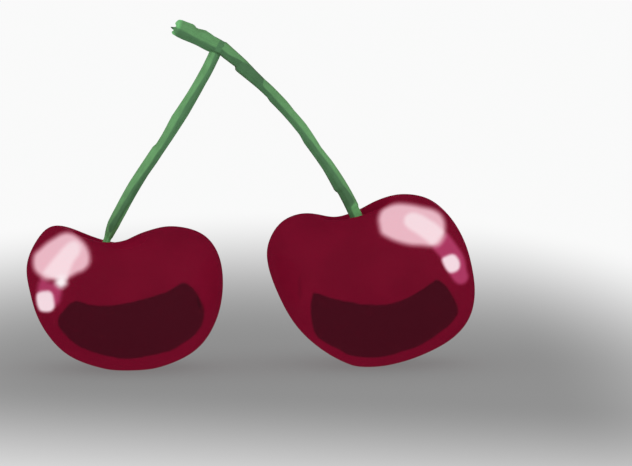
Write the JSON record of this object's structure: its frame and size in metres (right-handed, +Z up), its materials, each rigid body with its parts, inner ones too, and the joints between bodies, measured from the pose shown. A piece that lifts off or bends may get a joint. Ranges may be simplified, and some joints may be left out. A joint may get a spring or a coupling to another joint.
{
  "type": "pair of cherries",
  "caption": "Ripe dark-red sweet cherries joined by their green stems, standing side by side with the stems up.",
  "frame": {"origin": "on the surface, under the middle of the pair", "axes": "+X to the right across the pair, +Y to the back, +Z up along the stems"},
  "size_m": [0.0583, 0.0264, 0.045],
  "materials": {
    "skin": "smooth, waxy and glossy fruit skin",
    "stem": "satin, green and finely ridged",
    "spur": "matte, green and woody, torn at its free end"
  },
  "bodies": {
    "root": {"fruit_left": "skin", "fruit_right": "skin", "stem_left": "stem", "stem_right": "stem", "spur": "spur"}
  },
  "joints": []
}
